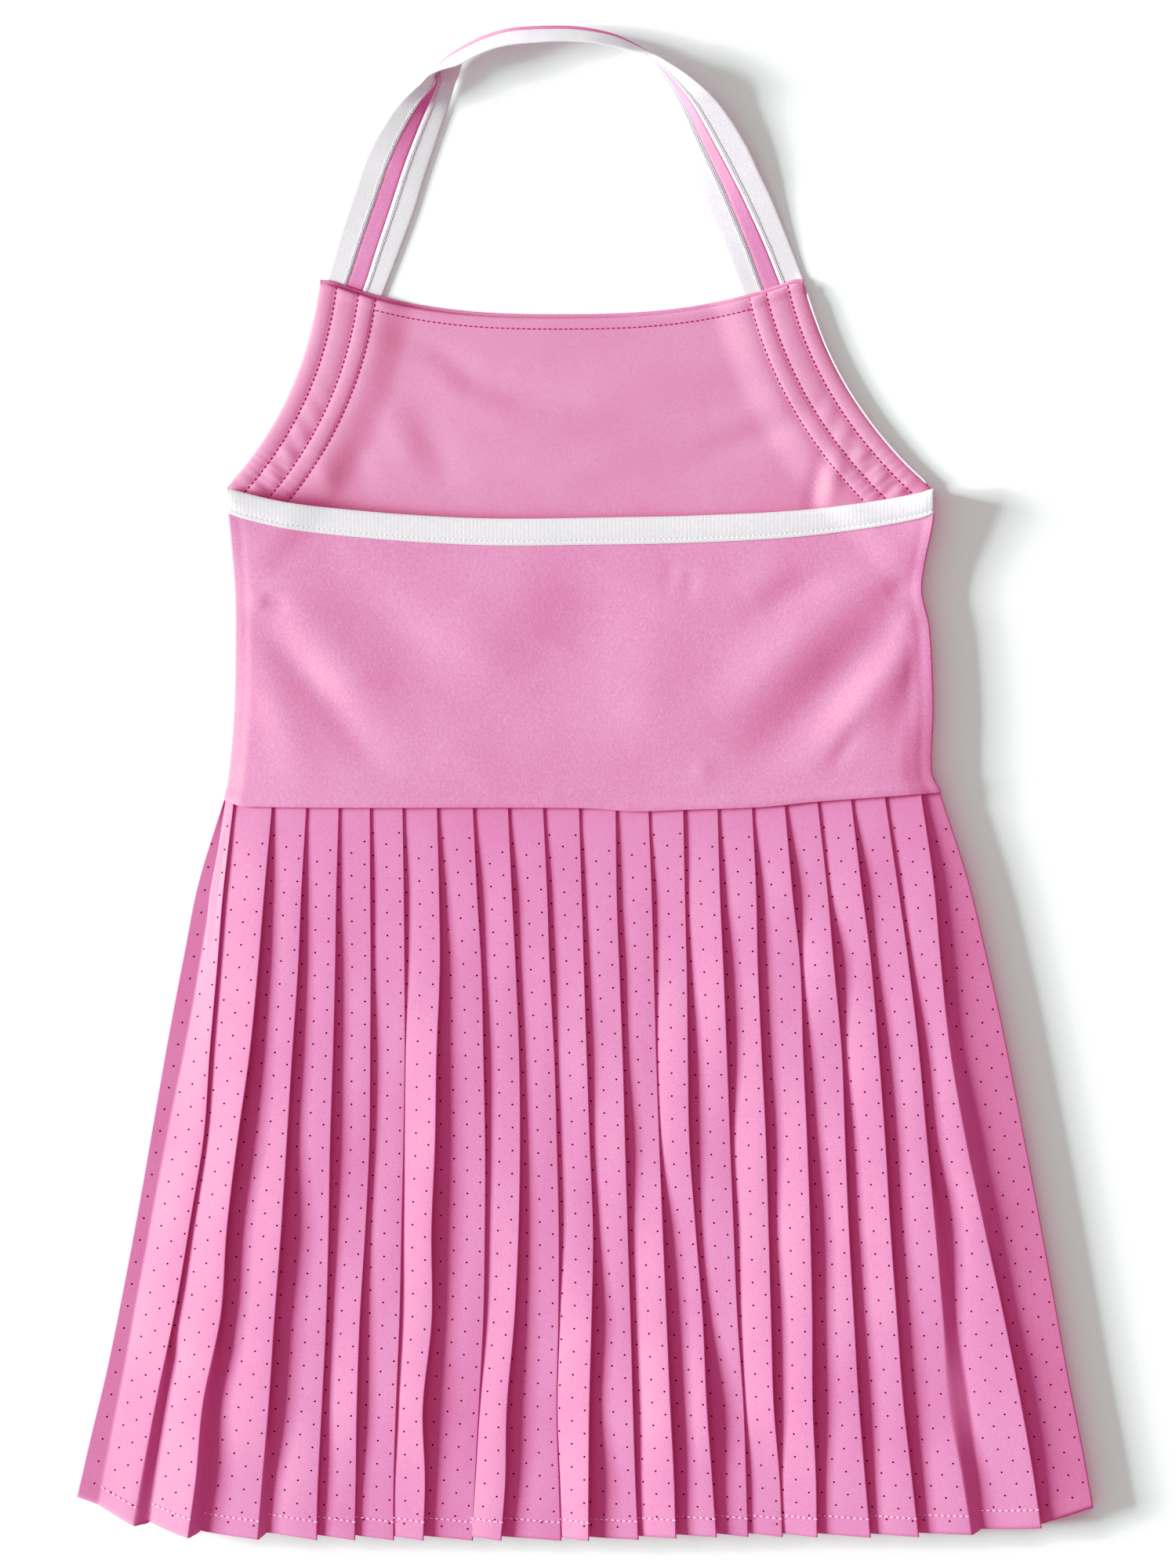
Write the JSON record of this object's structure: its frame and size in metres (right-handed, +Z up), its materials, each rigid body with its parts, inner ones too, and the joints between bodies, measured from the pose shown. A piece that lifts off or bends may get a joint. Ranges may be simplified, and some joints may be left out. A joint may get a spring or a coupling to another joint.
{
  "type": "tennis dress laid flat",
  "caption": "Sleeveless halter tennis dress lying flat on its front: pink knit bodice with a low back, striped neck strap and a knife-pleated skirt.",
  "frame": {"origin": "middle of the dress's footprint, on the table it lies on", "axes": "+X to the viewer's right, +Y from the hem to the neck strap, +Z up from the table; the dress's back faces +Z"},
  "size_m": [0.468, 0.6982, 0.0269],
  "materials": {
    "bodice_knit": "matt pink jersey",
    "lining_knit": "pink lining with fine upright ribs",
    "pleated_woven": "pressed pink polyester with small round holes",
    "white_knit": "white ribbed binding",
    "strap_knit": "pink ribbed band"
  },
  "bodies": {
    "root": {"front_shell": "bodice_knit", "front_lining": "lining_knit", "back_panel": "bodice_knit", "back_binding": "white_knit", "skirt_front": "pleated_woven", "skirt_back": "pleated_woven", "strap_inner_band": "white_knit", "strap_centre": "strap_knit", "strap_outer_band": "white_knit"}
  },
  "joints": []
}
